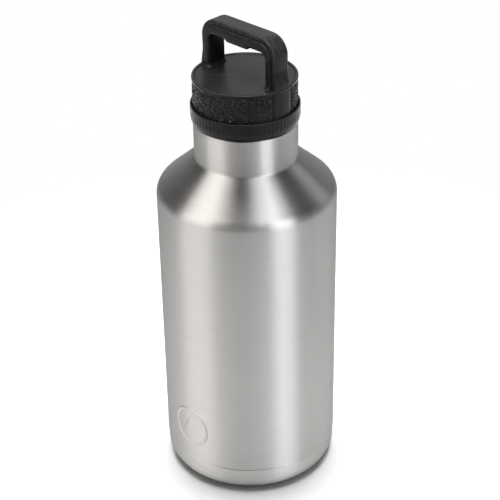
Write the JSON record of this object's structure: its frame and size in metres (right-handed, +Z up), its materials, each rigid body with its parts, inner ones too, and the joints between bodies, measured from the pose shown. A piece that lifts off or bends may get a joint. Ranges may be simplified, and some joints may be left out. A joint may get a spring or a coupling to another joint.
{
  "type": "growler",
  "caption": "Vacuum-insulated steel growler with a cone shoulder, a screw-in spout base and a screw cap with a fixed carry handle.",
  "frame": {"origin": "centre of the standing ring on the underside, on the bottle's axis", "axes": "+Z up along the bottle's axis, +X along the handle's bar, and the handle's opening is looked through along Y; the lid is shown closed"},
  "size_m": [0.115, 0.115, 0.3129],
  "materials": {
    "brushed_steel": "brushed around the body",
    "plain_steel": "plain drawn sheet",
    "copper_foil": "bright copper foil",
    "seal_glass": "fused solder glass",
    "getter_alloy": "sintered pellet",
    "black_plastic": "satin, with fine moulded relief on the cap's skirt",
    "grip_plastic": "fine matt grain",
    "silicone": "smooth silicone",
    "foam": "closed-cell foam"
  },
  "bodies": {
    "bottle": {"outer_shell": "brushed_steel", "inner_liner": "plain_steel", "liner_bottom": "plain_steel", "foil_wrap": "copper_foil", "vacuum_bottom": "plain_steel", "port_seal": "seal_glass", "getter_clip": "plain_steel", "getter_pellet": "getter_alloy", "base_cup": "brushed_steel"},
    "neck_seal": {"neck_gasket": "silicone"},
    "spout": {"spout_base": "black_plastic", "collar_ring": "black_plastic", "plug_foam": "foam", "plug_cover": "black_plastic"},
    "cap_seal": {"cap_gasket": "silicone"},
    "cap": {"cap_shell": "black_plastic", "handle_grip": "grip_plastic", "cap_liner": "black_plastic", "cap_foam": "foam"}
  },
  "joints": [
    {"name": "spout_lift", "type": "slide", "parent": "bottle", "child": "neck_seal", "axis": [0, 0, 1], "range_m": [0, 0.0242]},
    {"name": "spout_turn", "type": "hinge", "parent": "neck_seal", "child": "spout", "pos_m": [0, 0, 0.24], "axis": [0, 0, 1], "range_deg": [0, 1080]},
    {"name": "cap_lift", "type": "slide", "parent": "spout", "child": "cap_seal", "axis": [0, 0, 1], "range_m": [0, 0.0202]},
    {"name": "cap_turn", "type": "hinge", "parent": "cap_seal", "child": "cap", "pos_m": [0, 0, 0.27], "axis": [0, 0, 1], "range_deg": [0, 900]}
  ],
  "couplings": [
    {"joint": "spout_lift", "follows": "spout_turn", "m_per_rad": 0.0012732},
    {"joint": "cap_lift", "follows": "cap_turn", "m_per_rad": 0.0012732}
  ]
}
